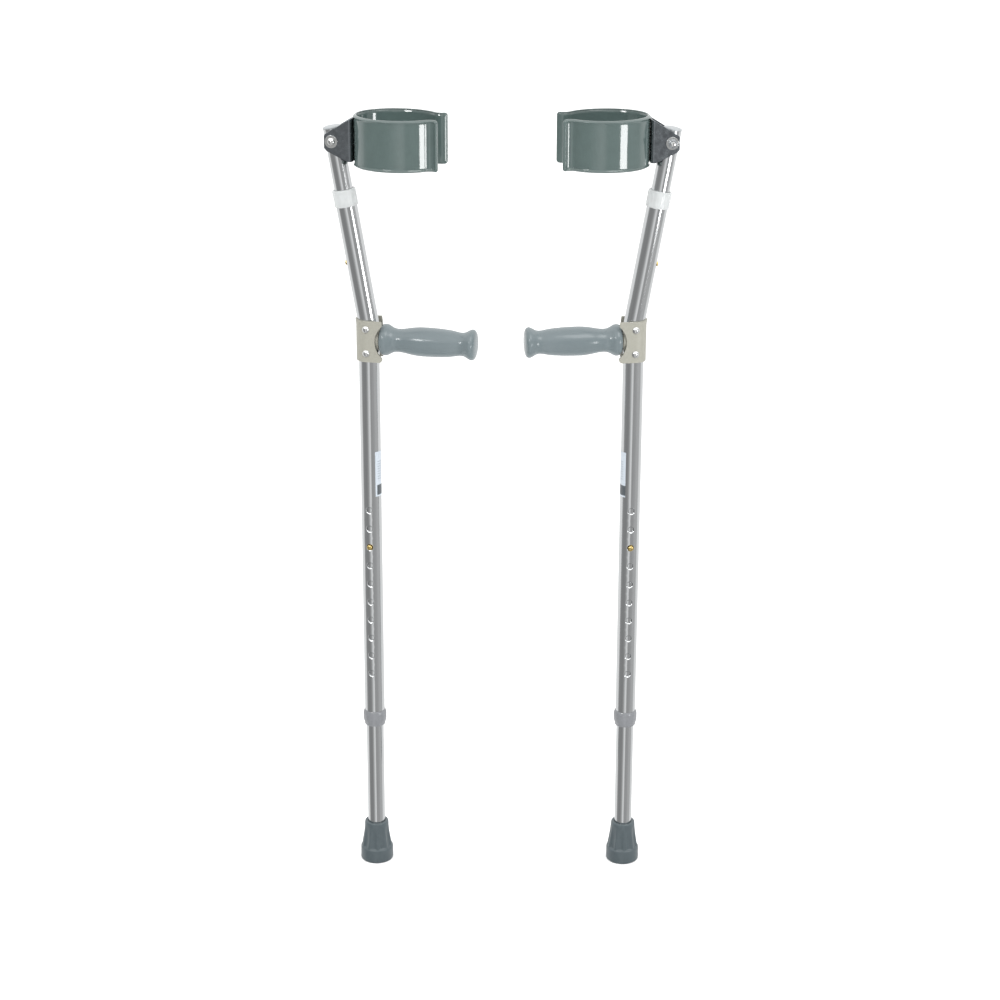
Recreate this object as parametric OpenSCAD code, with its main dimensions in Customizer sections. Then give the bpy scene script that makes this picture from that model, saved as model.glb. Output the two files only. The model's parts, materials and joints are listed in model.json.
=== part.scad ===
// A pair of forearm crutches standing side by side. Each crutch is built about its own
// shaft: +X points along its handle, +Z is up and the floor is at Z = 0. The pair is then
// set on the floor with the two handles turned towards each other.

/* [Pair] */
// Distance between the two shafts
pair_spacing = 320; // [280:5:420]
// How far the left handle is turned to the front, in degrees
left_turn = 12; // [0:1:30]
// How far the right handle is turned to the front, in degrees
right_turn = 7; // [0:1:30]
// How far behind the middle of the pair the shafts stand
set_back = 6; // [0:1:12]

/* [Tubes] */
// Outside diameter of the main tube
main_d = 25.4; // [25.4:0.1:28]
// Outside diameter of the leg tube and the forearm tube
slim_d = 22.2; // [20:0.1:22.2]
// Wall thickness of every tube
wall = 1.2; // [1:0.1:1.5]
// Height of the main tube's lower end
main_bottom = 196; // [190:1:215]
// Height where the main tube leans back
bend_z = 723; // [718:1:730]
// Angle that the upper tube leans back, away from the handle
bend_angle = 9.8; // [5:0.2:15]
// Length of the upper part of the main tube, from the bend
upper_len = 160; // [150:1:170]
// Height of the top of the leg tube
leg_top = 500; // [495:1:510]
// Where the forearm tube ends, measured up its axis from the bend
forearm_top = 239; // [235:1:250]

/* [Height adjustment] */
// Distance between neighbouring holes
hole_pitch = 24.4; // [20:0.1:30]
// Number of leg holes
leg_holes = 10; // [6:1:10]
// Height of the highest leg hole
leg_hole_top = 486.2; // [480:0.1:495]
// Which leg hole the buttons stand in, counted from the top
leg_hole_used = 3; // [3:1:6]
// Number of forearm holes
arm_holes = 4; // [2:1:4]
// Where the lowest forearm hole is, measured up from the bend
arm_hole_low = 52.6; // [50:0.1:56]
// Diameter of the holes
hole_d = 7; // [7:0.1:7.4]
// Diameter of the snap buttons
button_d = 6.4; // [6:0.1:6.4]

/* [Handle] */
// Height of the handle's axis
handle_z = 703.5; // [700:0.5:704]
// Height of the saddle that holds the handle
saddle_h = 51; // [48:1:52]
// Distance between the two rivets
rivet_gap = 30; // [28:1:32]
// Where the grip starts, measured from the main tube's axis
grip_start = 15.6; // [15:0.1:18]
// Length of the grip
grip_len = 118; // [110:1:125]

/* [Tip] */
// Diameter of the rubber tip's base
tip_d = 41.8; // [38:0.2:44]
// Height of the rubber tip
tip_h = 54; // [50:1:60]

/* [Cuff] */
// Where the cuff's hinge is, measured up the upper tube from the bend
pivot_s = 225; // [222:1:228]
// Height of the cuff
cuff_h = 61; // [55:1:66]
// Length of the oval that the cuff follows
cuff_l = 104; // [96:1:110]
// Width of the oval that the cuff follows
cuff_w = 83; // [78:1:90]
// Thickness of the dipped cuff
cuff_t = 3.6; // [3.2:0.1:4]
// Thickness of the steel band inside the cuff
core_t = 2; // [1.6:0.1:2]

/* [Hidden] */
// Smoothness of the round shapes
$fn = 64;
// Clearance of a moving fit, and of two pieces that are fixed together
slip = 0.35;
snug = 0.05;
// Space between a moving piece and its neighbour
gap = 0.3;
// Overrun of a cutting shape
over = 1;

main_r = main_d / 2;
slim_r = slim_d / 2;
slim_bore_r = slim_r - wall;
leg_button_z = leg_hole_top - (leg_hole_used - 1) * hole_pitch;
arm_button_s = arm_hole_low + hole_pitch;

// Snap springs: how far the leaves run below the button, and the strip's section
leaf_len = 34;
leaf_w = 9;
leaf_t = 0.8;
leaf_out = 8.2;

// The saddle wraps the tube from behind and reaches forward on both sides
saddle_wall = 2.5;
saddle_r = main_r + snug + saddle_wall;
saddle_reach = 20;
far_reach = 15;
notch_r = 26.3;
notch_depth_x = 10.8;
boss_r = 13.2;
boss_end = 14.6;
boss_start = 6.4;
post_end = grip_start + grip_len - 6;
post_wall = 1.6;
rivet_r = 2.4;
rivet_head_r = 4.4;
rivet_head_h = 2.4;

// Rubber tip: the socket's floor, and the band round the base
tip_floor = 6.5;
tip_band = 18;
washer_t = 2;

// Hinge of the cuff, from the tube outwards
pivot_r = 3;
bolt_head_r = 4.8;
washer_r = 7.6;
spacer_t = 0.55;
ear_in = slim_r + snug + spacer_t + gap;
ear_t = 2;
ear_out = ear_in + ear_t;
washer_in = ear_out + gap;
washer_out = washer_in + 1;

// Cuff bracket, measured from the hinge: its front plate and its ears
plate_front = 25;
plate_low = -23.5;
plate_high = 28;
ear_back = -9;
plate_mid = (plate_low + plate_high) / 2;
cuff_rivet_gap = 30;

// Cuff oval, measured from the hinge
cuff_a = (cuff_l - cuff_t) / 2;
cuff_b = (cuff_w - cuff_t) / 2;
cuff_mid_x = plate_front + 0.2 + cuff_l / 2;
mouth_angle = 40;
lip_r = 10;
lip_turn = 75;
lip_run = 4;
rim_out = 2;
rim_h = 3.5;
core_end_x = 129.5;

// Where the oval's wall runs at the start of each lip, as an angle from +X
lip_from = -atan2(cuff_b * cos(mouth_angle), cuff_a * sin(mouth_angle));

// ---- Places ----

// Stands a crutch at its place in the pair
module left_side() {
    translate([-pair_spacing / 2, set_back, 0]) rotate(-left_turn) children();
}

module right_side() {
    translate([pair_spacing / 2, set_back, 0]) rotate(180 + right_turn) children();
}

// Moves a piece up the leaning upper tube, s above the bend
module up_the_arm(s) {
    translate([0, 0, bend_z]) rotate([0, -bend_angle, 0]) translate([0, 0, s]) children();
}

// Puts a piece at the cuff's hinge, upright
module at_pivot() {
    translate([-pivot_s * sin(bend_angle), 0, bend_z + pivot_s * cos(bend_angle)]) children();
}

// Turns a shape that stands along Z to point along Y or X
module along_y() {
    rotate([-90, 0, 0]) children();
}

module along_x() {
    rotate([0, 90, 0]) children();
}

// ---- Shared shapes ----

// The space that a round bar of radius r takes, with a mitre where the main tube leans back
module bent_bar(r, from_z, upper_end) {
    reach = 2 * r;
    intersection() {
        translate([0, 0, from_z]) cylinder(r = r, h = bend_z - from_z + reach);
        mitre_block(from_z - bend_z - over, 0);
    }
    intersection() {
        up_the_arm(-reach) cylinder(r = r, h = upper_end + reach);
        mitre_block(0, upper_end + over);
    }
}

// The space between two heights, both measured square to the mitre plane of the bend
module mitre_block(low, high) {
    side = 8 * main_r;
    translate([0, 0, bend_z])
        rotate([0, -bend_angle / 2, 0])
            translate([-side / 2, -side / 2, low])
                cube([side, side, high - low]);
}

// A low round head with its flat side on z = 0
module dome(r, h) {
    ball_r = (r * r + h * h) / (2 * h);
    intersection() {
        translate([0, 0, h - ball_r]) sphere(ball_r);
        cylinder(r = r + over, h = h + over);
    }
}

// A straight tube standing on z = 0
module pipe(outer_r, inner_r, h) {
    difference() {
        cylinder(r = outer_r, h = h);
        translate([0, 0, -over]) cylinder(r = inner_r, h = h + 2 * over);
    }
}

// A snap button on the Y axis. Its foot sits on the spring leaf and its crown is outside.
module snap_button() {
    foot_y = leaf_out + snug;
    crown_y = main_r + 2.2;
    along_y()
        rotate_extrude()
            polygon([
                [0, foot_y],
                [3.9, foot_y],
                [3.9, foot_y + 0.7],
                [button_d / 2, foot_y + 0.7],
                [button_d / 2, crown_y - 1],
                [button_d / 2 - 0.8, crown_y - 0.25],
                [button_d / 2 - 1.8, crown_y],
                [0, crown_y]
            ]);
}

// A spring strip bent into a narrow V. Its leaves end just above the buttons at z = 0.
module v_spring() {
    leaf_top = 6;
    fold = 3;
    arm = [
        [fold + leaf_t, -leaf_len],
        [leaf_out, -leaf_top],
        [leaf_out, leaf_top],
        [leaf_out - leaf_t, leaf_top],
        [leaf_out - leaf_t, -leaf_top],
        [fold, -leaf_len]
    ];
    translate([leaf_w / 2, 0, 0])
        rotate([90, 0, -90])
            linear_extrude(leaf_w)
                polygon(concat(
                    [[0, -leaf_len - fold]],
                    arm,
                    [[0, -leaf_len - fold + leaf_t]],
                    reversed(flipped_x(arm))
                ));
}

// ---- Frame of one crutch ----

// Bent main tube with the leg holes through both sides and the forearm holes at the back
module main_tube() {
    color("silver")
        difference() {
            bent_bar(main_r, main_bottom, upper_len);
            bent_bar(main_r - wall, main_bottom - over, upper_len + over);
            for (k = [0 : leg_holes - 1])
                translate([0, -main_d, leg_hole_top - k * hole_pitch])
                    along_y() cylinder(d = hole_d, h = 2 * main_d);
            for (k = [0 : arm_holes - 1])
                up_the_arm(arm_hole_low + k * hole_pitch)
                    translate([-main_d, 0, 0]) along_x() cylinder(d = hole_d, h = main_d);
            for (side = [-1, 1])
                translate([0, -main_d, handle_z + side * rivet_gap / 2])
                    along_y() cylinder(r = rivet_r + snug, h = 2 * main_d);
        }
}

// Side view of the saddle: a square plate with a round bite where the grip fits in
module saddle_outline() {
    low_corner = 4;
    difference() {
        translate([-saddle_r - over, -saddle_h / 2])
            square([saddle_r + saddle_reach + over, saddle_h]);
        translate([notch_depth_x + notch_r, 0]) circle(notch_r);
        difference() {
            translate([saddle_reach - low_corner, -saddle_h / 2 - over])
                square([low_corner + over, low_corner + over]);
            translate([saddle_reach - low_corner, -saddle_h / 2 + low_corner]) circle(low_corner);
        }
    }
}

// Painted saddle: a U round the back of the main tube, with a boss for the handle post.
// Its plate on the far side, +1 or -1 along Y, is shorter.
module handle_saddle(far_side) {
    color("tan")
        difference() {
            union() {
                intersection() {
                    translate([0, 0, handle_z - saddle_h / 2])
                        union() {
                            cylinder(r = saddle_r, h = saddle_h);
                            translate([0, -saddle_r, 0])
                                cube([saddle_reach, 2 * saddle_r, saddle_h]);
                        }
                    translate([0, saddle_r + over, handle_z])
                        rotate([90, 0, 0])
                            linear_extrude(2 * (saddle_r + over))
                                saddle_outline();
                }
                translate([boss_start, 0, handle_z])
                    along_x() cylinder(r = boss_r, h = boss_end - boss_start);
            }
            bent_bar(main_r + snug, main_bottom, upper_len);
            for (side = [-1, 1])
                translate([0, -(main_r + snug), handle_z + side * (boss_r + saddle_h / 2)])
                    translate([0, 0, -saddle_h / 2])
                        cube([saddle_reach + over, 2 * (main_r + snug), saddle_h]);
            translate([0, 0, handle_z])
                along_x() cylinder(r = slim_r + snug, h = 2 * saddle_reach);
            translate([far_reach, far_side > 0 ? 0 : -saddle_r - over, handle_z - saddle_h])
                cube([saddle_reach, saddle_r + over, 2 * saddle_h]);
            for (side = [-1, 1])
                translate([0, -main_d, handle_z + side * rivet_gap / 2])
                    along_y() cylinder(r = rivet_r + snug, h = 2 * main_d);
        }
}

// Handle post: a tube coped to the main tube, hidden by the grip
module handle_post() {
    color("tan")
        difference() {
            translate([0, 0, handle_z]) along_x() pipe(slim_r, slim_r - post_wall, post_end);
            translate([0, 0, handle_z - main_d]) cylinder(r = main_r + snug, h = 2 * main_d);
        }
}

// Two rivets through the saddle and the main tube, with a round head on each side
module handle_rivets() {
    color("lightgray")
        for (level = [-1, 1])
            translate([0, 0, handle_z + level * rivet_gap / 2]) {
                translate([0, -saddle_r, 0]) along_y() cylinder(r = rivet_r, h = 2 * saddle_r);
                for (side = [0, 180])
                    rotate([0, 0, side])
                        translate([0, saddle_r, 0]) along_y() dome(rivet_head_r, rivet_head_h);
            }
}

// Moulded grip: a swelling body between a collar at the tube and a flared end
module grip() {
    bore_r = slim_r + snug;
    color("slategray")
        translate([grip_start, 0, handle_z])
            along_x()
                difference() {
                    rotate_extrude()
                        polygon([
                            [0, 0], [16.4, 0], [18, 1.6], [19.3, 5], [19, 9], [16.6, 13],
                            [14.7, 17], [14.2, 21], [14.6, 27], [16, 35], [17.3, 44],
                            [17.8, 54], [17.6, 66], [17, 77], [15.9, 88], [14.6, 95],
                            [14.2, 100], [15, 104], [17.2, 108], [18.7, 111.5],
                            [18.6, 114.5], [17.2, 117], [14.5, grip_len], [0, grip_len]
                        ]);
                    translate([0, 0, -over]) cylinder(r = bore_r, h = post_end - grip_start + over + gap);
                }
}

// Thin sticker wrapped round the handle side of the main tube
module sticker() {
    sticker_h = 58;
    sticker_z = 504;
    sticker_angle = 102;
    sticker_t = 0.15;
    color("aliceblue")
        translate([0, 0, sticker_z])
            rotate(-sticker_angle / 2)
                rotate_extrude(angle = sticker_angle)
                    translate([main_r + 0.02, 0])
                        square([sticker_t, sticker_h]);
}

// Clear nylon collar that guides the forearm tube out of the main tube
module upper_collar() {
    collar_h = 20.5;
    collar_r = 14.3;
    seat = 15;
    color("whitesmoke")
        up_the_arm(upper_len - seat)
            rotate_extrude()
                polygon([
                    [main_r + snug, 0],
                    [collar_r - 0.5, 0],
                    [collar_r, 1],
                    [collar_r, collar_h - 1.5],
                    [collar_r - 1.2, collar_h],
                    [slim_r + slip, collar_h],
                    [slim_r + slip, seat + snug],
                    [main_r + snug, seat + snug]
                ]);
}

// Grey collar that steadies the leg tube at the main tube's lower end
module lower_collar() {
    collar_r = 14.8;
    below = 3.5;
    above = 17;
    color("gray")
        translate([0, 0, main_bottom])
            rotate_extrude()
                polygon([
                    [slim_r + slip, -below],
                    [collar_r - 1.6, -below],
                    [collar_r, 5],
                    [collar_r, above - 2.2],
                    [collar_r - 0.7, above - 0.6],
                    [collar_r - 1.5, above],
                    [main_r + snug, above],
                    [main_r + snug, -snug],
                    [slim_r + slip, -snug]
                ]);
}

// ---- Leg ----

// Leg tube with one hole on each side for the snap buttons
module leg_tube() {
    color("silver")
        difference() {
            translate([0, 0, tip_floor + washer_t])
                pipe(slim_r, slim_bore_r, leg_top - tip_floor - washer_t);
            translate([0, -main_d, leg_button_z])
                along_y() cylinder(d = hole_d, h = 2 * main_d);
        }
}

// Double snap spring inside the leg tube
module leg_spring() {
    color("dimgray") translate([0, 0, leg_button_z]) v_spring();
}

// Brass snap buttons, one on each side of the leg
module leg_button_front() {
    color("goldenrod") translate([0, 0, leg_button_z]) rotate(180) snap_button();
}

module leg_button_back() {
    color("goldenrod") translate([0, 0, leg_button_z]) snap_button();
}

// Rubber tip with a ringed sole and a socket for the leg tube
module tip() {
    base_r = tip_d / 2;
    groove = 1.2;
    color("lightslategray")
        difference() {
            rotate_extrude()
                polygon([
                    [0, 0], [base_r - 1.6, 0], [base_r - 0.5, 0.5], [base_r, 1.8],
                    [base_r - 0.2, tip_band - 2], [base_r - 0.8, tip_band + 1],
                    [base_r - 2.6, tip_band + 9], [base_r - 3.9, tip_band + 18],
                    [base_r - 5.1, tip_band + 27], [base_r - 5.6, tip_h - 2.5],
                    [base_r - 6.2, tip_h - 0.8], [base_r - 7.2, tip_h], [0, tip_h]
                ]);
            translate([0, 0, tip_floor]) cylinder(r = slim_r + snug, h = tip_h);
            for (r = [6, 11, 16])
                translate([0, 0, -over]) pipe(r + 1.8, r, groove + over);
        }
}

// Steel washer that keeps the leg tube from cutting through the tip
module tip_washer() {
    color("darkgray") translate([0, 0, tip_floor]) cylinder(r = slim_r, h = washer_t);
}

// ---- Forearm ----

// Forearm tube with the snap button's hole at the back and the hinge bolt's hole at the top
module forearm_tube() {
    forearm_bottom = arm_button_s - leaf_len - 6;
    color("silver")
        difference() {
            up_the_arm(forearm_bottom) pipe(slim_r, slim_bore_r, forearm_top - forearm_bottom);
            up_the_arm(arm_button_s)
                translate([-main_d, 0, 0]) along_x() cylinder(d = hole_d, h = main_d);
            up_the_arm(pivot_s)
                translate([0, -main_d, 0]) along_y() cylinder(r = pivot_r + snug, h = 2 * main_d);
        }
}

// Single snap spring inside the forearm tube
module forearm_spring() {
    color("dimgray") up_the_arm(arm_button_s) rotate(90) v_spring();
}

// Snap button at the back of the forearm tube
module forearm_button() {
    color("goldenrod") up_the_arm(arm_button_s) rotate(90) snap_button();
}

// Plastic plug in the top of the forearm tube
module tube_cap() {
    plug_depth = 6;
    color("gray")
        up_the_arm(forearm_top) {
            translate([0, 0, -plug_depth]) cylinder(r = slim_bore_r - snug, h = plug_depth);
            cylinder(r = slim_r, h = 1.6);
            translate([0, 0, 1.6]) dome(slim_r, 1.4);
        }
}

// Hinge bolt with a round head at the front
module pivot_bolt() {
    bolt_end = washer_out + 6;
    color("lightgray")
        at_pivot() {
            translate([0, -washer_out, 0])
                along_y() cylinder(r = pivot_r, h = washer_out + bolt_end);
            translate([0, -washer_out, 0]) rotate([90, 0, 0]) dome(bolt_head_r, 3);
        }
}

// Hexagon nut at the back of the hinge
module pivot_nut() {
    nut_h = 4.5;
    color("lightgray")
        at_pivot()
            translate([0, washer_out, 0])
                along_y()
                    difference() {
                        cylinder(r = 5.8, h = nut_h, $fn = 6);
                        translate([0, 0, -over]) cylinder(r = pivot_r + snug, h = nut_h + 2 * over);
                    }
}

// Steel washers outside the two ears
module pivot_washers() {
    color("silver")
        at_pivot()
            for (side = [0, 180])
                rotate(side)
                    translate([0, washer_in, 0])
                        along_y() pipe(washer_r, pivot_r + snug, washer_out - washer_in);
}

// Nylon spacers between the tube and the two ears
module pivot_spacers() {
    color("white")
        at_pivot()
            for (side = [0, 180])
                rotate(side)
                    translate([0, slim_r + snug, 0]) along_y() pipe(6, pivot_r + snug, spacer_t);
}

// ---- Cuff ----

// Points of the cuff's wall in plan on its +Y side, moved out by d, from the back to the mouth
function arm_points(d) = concat(
    [for (a = [180 : -5 : mouth_angle])
        let (n = [cuff_b * cos(a), cuff_a * sin(a)])
        [cuff_mid_x + cuff_a * cos(a), cuff_b * sin(a)] + d * n / norm(n)],
    lip_points(d)
);

// Points of the flared lip: a round turn outwards, then a short straight run
function lip_points(d) =
    let (
        start = [cuff_mid_x + cuff_a * cos(mouth_angle), cuff_b * sin(mouth_angle)],
        centre = start + lip_r * [-sin(lip_from), cos(lip_from)],
        last = lip_from + lip_turn,
        tail = centre + lip_r * [sin(last), -cos(last)],
        along = [cos(last), sin(last)]
    )
    concat(
        [for (k = [1 : 6])
            let (t = lip_from + lip_turn * k / 6)
            centre + (lip_r - d) * [sin(t), -cos(t)]],
        [tail + lip_run * along + d * [-along.y, along.x]]
    );

function reversed(list) = [for (k = [len(list) - 1 : -1 : 0]) list[k]];

function flipped(list) = [for (p = list) [p.x, -p.y]];

function flipped_x(list) = [for (p = list) [-p.x, p.y]];

// Plan of an open band whose faces lie d_in inside and d_out outside the wall's middle
module band_plan(d_in, d_out) {
    outside = concat(reversed(flipped(arm_points(d_out))), arm_points(d_out));
    inside = concat(reversed(flipped(arm_points(-d_in))), arm_points(-d_in));
    polygon(concat(outside, reversed(inside)));
}

// A band standing between two heights, measured from the middle of the cuff bracket's plate
module band(d_in, d_out, low, high) {
    translate([0, 0, plate_mid + low]) linear_extrude(high - low) band_plan(d_in, d_out);
}

// Holes for the cuff's rivets
module cuff_rivet_holes() {
    for (level = [-1, 1])
        translate([0, 0, plate_mid + level * cuff_rivet_gap / 2])
            along_x() cylinder(r = rivet_r + snug, h = plate_front + 3 * cuff_t);
}

// Steel band inside the cuff
module cuff_core() {
    margin = 1;
    color("darkgray")
        at_pivot()
            difference() {
                band(core_t / 2, core_t / 2, -cuff_h / 2 + margin, cuff_h / 2 - margin);
                cuff_rivet_holes();
                translate([core_end_x, -cuff_w, plate_mid - cuff_h])
                    cube([cuff_a, 2 * cuff_w, 2 * cuff_h]);
            }
}

// Vinyl skin over the steel band, with rolled rims at its top and bottom
module cuff() {
    skin = cuff_t / 2;
    margin = 1;
    color("slategray")
        at_pivot()
            difference() {
                union() {
                    band(skin, skin, -cuff_h / 2, cuff_h / 2);
                    for (low = [-cuff_h / 2, cuff_h / 2 - rim_h])
                        band(skin - 0.2, skin + rim_out, low, low + rim_h);
                }
                difference() {
                    band(core_t / 2, core_t / 2, -cuff_h / 2 + margin, cuff_h / 2 - margin);
                    translate([core_end_x, -cuff_w, plate_mid - cuff_h])
                        cube([cuff_a, 2 * cuff_w, 2 * cuff_h]);
                }
                cuff_rivet_holes();
            }
}

// Zinc-plated bracket: a front plate with two tapering ears that hold the tube's top
module cuff_bracket() {
    color("dimgray")
        at_pivot()
            difference() {
                intersection() {
                    translate([0, ear_out + over, 0])
                        rotate([90, 0, 0])
                            linear_extrude(2 * (ear_out + over))
                                polygon([
                                    [plate_front, plate_high],
                                    [plate_front - 1, plate_high],
                                    [ear_back + 2, 9],
                                    [ear_back, 6.5],
                                    [ear_back, -7.5],
                                    [ear_back + 3, -11.5],
                                    [15, -21.6],
                                    [19, plate_low],
                                    [plate_front, plate_low]
                                ]);
                    translate([ear_back, -ear_out, plate_low])
                        cube([plate_front - ear_back, 2 * ear_out, plate_high - plate_low]);
                }
                translate([ear_back - over, -ear_in, plate_low - over])
                    cube([
                        plate_front - ear_back - ear_t + over,
                        2 * ear_in,
                        plate_high - plate_low + 2 * over
                    ]);
                translate([0, -2 * ear_out, 0])
                    along_y() cylinder(r = pivot_r + gap, h = 4 * ear_out);
                cuff_rivet_holes();
            }
}

// Two rivets that hold the cuff to the bracket's front plate. Their inner heads stand
// clear of the cuff's curved wall.
module cuff_rivets() {
    head_h = 1.6;
    inner_head = plate_front + 0.2 + cuff_t + 0.45;
    color("lightgray")
        at_pivot()
            for (level = [-1, 1])
                translate([0, 0, plate_mid + level * cuff_rivet_gap / 2]) {
                    translate([plate_front - ear_t, 0, 0])
                        along_x() cylinder(r = rivet_r, h = inner_head - plate_front + ear_t);
                    translate([plate_front - ear_t, 0, 0])
                        rotate([0, -90, 0]) dome(rivet_head_r, head_h);
                    translate([inner_head, 0, 0]) along_x() dome(rivet_head_r, head_h);
                }
}

// ---- Left crutch ----
left_side() main_tube();  // left_main_tube
left_side() handle_saddle(1);  // left_handle_saddle
left_side() handle_post();  // left_handle_post
left_side() handle_rivets();  // left_handle_rivets
left_side() grip();  // left_grip
left_side() sticker();  // left_sticker
left_side() upper_collar();  // left_upper_collar
left_side() lower_collar();  // left_lower_collar
left_side() leg_tube();  // left_leg_tube
left_side() tip();  // left_tip
left_side() tip_washer();  // left_tip_washer
left_side() leg_spring();  // left_leg_spring
left_side() leg_button_front();  // left_leg_button_front
left_side() leg_button_back();  // left_leg_button_back
left_side() forearm_tube();  // left_forearm_tube
left_side() forearm_spring();  // left_forearm_spring
left_side() tube_cap();  // left_tube_cap
left_side() forearm_button();  // left_forearm_button
left_side() pivot_bolt();  // left_pivot_bolt
left_side() pivot_nut();  // left_pivot_nut
left_side() pivot_washers();  // left_pivot_washers
left_side() pivot_spacers();  // left_pivot_spacers
left_side() cuff_bracket();  // left_cuff_bracket
left_side() cuff_rivets();  // left_cuff_rivets
left_side() cuff_core();  // left_cuff_core
left_side() cuff();  // left_cuff

// ---- Right crutch ----
right_side() main_tube();  // right_main_tube
right_side() handle_saddle(-1);  // right_handle_saddle
right_side() handle_post();  // right_handle_post
right_side() handle_rivets();  // right_handle_rivets
right_side() grip();  // right_grip
right_side() sticker();  // right_sticker
right_side() upper_collar();  // right_upper_collar
right_side() lower_collar();  // right_lower_collar
right_side() leg_tube();  // right_leg_tube
right_side() tip();  // right_tip
right_side() tip_washer();  // right_tip_washer
right_side() leg_spring();  // right_leg_spring
right_side() leg_button_front();  // right_leg_button_front
right_side() leg_button_back();  // right_leg_button_back
right_side() forearm_tube();  // right_forearm_tube
right_side() forearm_spring();  // right_forearm_spring
right_side() tube_cap();  // right_tube_cap
right_side() forearm_button();  // right_forearm_button
right_side() pivot_bolt();  // right_pivot_bolt
right_side() pivot_nut();  // right_pivot_nut
right_side() pivot_washers();  // right_pivot_washers
right_side() pivot_spacers();  // right_pivot_spacers
right_side() cuff_bracket();  // right_cuff_bracket
right_side() cuff_rivets();  // right_cuff_rivets
right_side() cuff_core();  // right_cuff_core
right_side() cuff();  // right_cuff
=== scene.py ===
"""Looks of a pair of forearm crutches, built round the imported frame."""

import json
import math

import bpy
import numpy as np
from mathutils import Matrix

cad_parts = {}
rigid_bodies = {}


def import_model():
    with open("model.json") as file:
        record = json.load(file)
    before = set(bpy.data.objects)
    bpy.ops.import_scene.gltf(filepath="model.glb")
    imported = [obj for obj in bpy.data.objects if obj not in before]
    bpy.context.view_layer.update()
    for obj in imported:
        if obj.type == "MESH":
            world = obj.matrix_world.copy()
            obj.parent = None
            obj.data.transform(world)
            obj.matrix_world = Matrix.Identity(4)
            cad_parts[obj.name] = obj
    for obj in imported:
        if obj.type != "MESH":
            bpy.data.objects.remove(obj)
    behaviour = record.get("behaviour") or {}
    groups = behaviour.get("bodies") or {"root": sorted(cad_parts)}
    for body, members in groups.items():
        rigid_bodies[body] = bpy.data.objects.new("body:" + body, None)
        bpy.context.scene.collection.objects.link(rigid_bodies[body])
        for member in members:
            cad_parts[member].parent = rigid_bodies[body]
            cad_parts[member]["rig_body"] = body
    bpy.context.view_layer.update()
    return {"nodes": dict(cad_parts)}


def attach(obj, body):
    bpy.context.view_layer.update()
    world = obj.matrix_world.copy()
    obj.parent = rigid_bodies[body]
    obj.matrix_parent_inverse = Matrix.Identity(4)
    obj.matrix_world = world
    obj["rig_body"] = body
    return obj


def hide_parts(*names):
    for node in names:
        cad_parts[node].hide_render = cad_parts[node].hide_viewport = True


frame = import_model()

# ---- Sizes, in millimetres, in a crutch's own frame: +X along its handle, +Z up ----

MAIN_R, SLIM_R, WALL = 12.7, 11.1, 1.2
MAIN_LOW, LEG_LOW, LEG_TOP = 196.0, 8.5, 500.0
BEND_Z, LEAN, BEND_R = 723.0, math.radians(9.8), 60.0
UPPER_LEN, ARM_LOW, ARM_TOP = 160.0, 38.0, 239.0
PITCH, HOLE_R, BUTTON_R = 24.4, 3.5, 3.2
LEG_HOLES = 486.2 - PITCH * np.arange(10)
LEG_BUTTON_Z, ARM_BUTTON_S = LEG_HOLES[2], 77.0
ARM_HOLES = 52.6 + PITCH * np.arange(4)
# A hole's rounded edge: how far out it starts, how much wider the hole still is at
# each depth, and how much wider it is at the inside of the wall
HOLE_RIM, HOLE_BACK = 1.25, 0.3
HOLE_EDGE = ((1.0, 0.06), (0.7, 0.27), (0.4, 0.5), (0.15, 0.74), (0, 0.95))
HANDLE_Z, RIVET_STEP = 703.5, 15.0
GRIP_X = 15.6
SADDLE_T, SADDLE_REACH, FAR_REACH, SADDLE_HALF_H = 2.4, 20.0, 13.8, 25.5
NOTCH_X, NOTCH_R = 37.1, 26.3
BOSS_R, BOSS_BORE, BOSS_END = 13.2, 11.3, 14.6
PIVOT_S = 225.0
PIVOT = np.array([-PIVOT_S * math.sin(LEAN), 0, BEND_Z + PIVOT_S * math.cos(LEAN)])
PLATE_MID = 2.25
CUFF_X, CUFF_A, CUFF_B, MOUTH = 77.2, 50.2, 39.7, math.radians(40)
LIP_R, LIP_TURN, LIP_RUN = 10.0, math.radians(75), 4.0
CUFF_HALF_H, CUFF_SKIN = 30.5, 1.8

SIDES = {
    "left": (math.radians(-12), np.array([-160.0, 6.0, 0.0])),
    "right": (math.radians(187), np.array([160.0, 6.0, 0.0])),
}
SEGMENTS = 96
CELL = 3.75  # degrees of tube wall for each face round it


# ---- Shader helpers ----

def linear(hex_colour):
    """The linear RGBA of an sRGB hex colour."""
    c = np.array([int(hex_colour[i : i + 2], 16) for i in (1, 3, 5)]) / 255
    low, high = c / 12.92, ((c + 0.055) / 1.055) ** 2.4
    return (*np.where(c <= 0.04045, low, high), 1.0)


def add(tree, kind, inputs=None, **settings):
    """Adds a shader node. Each input is a value, or the output that feeds it."""
    node = tree.nodes.new("ShaderNode" + kind)
    for key, value in settings.items():
        setattr(node, key, value)
    for key, value in (inputs or {}).items():
        if isinstance(value, bpy.types.NodeSocket):
            tree.links.new(value, node.inputs[key])
        else:
            node.inputs[key].default_value = value
    return node


def blank(name, **surface):
    """A material with one Principled shader, and the place on the piece in millimetres."""
    material = bpy.data.materials.new(name)
    material.use_nodes = True
    tree = material.node_tree
    tree.nodes.clear()
    shader = add(tree, "BsdfPrincipled", surface)
    add(tree, "OutputMaterial", {"Surface": shader.outputs[0]})
    return material, tree, shader


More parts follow.
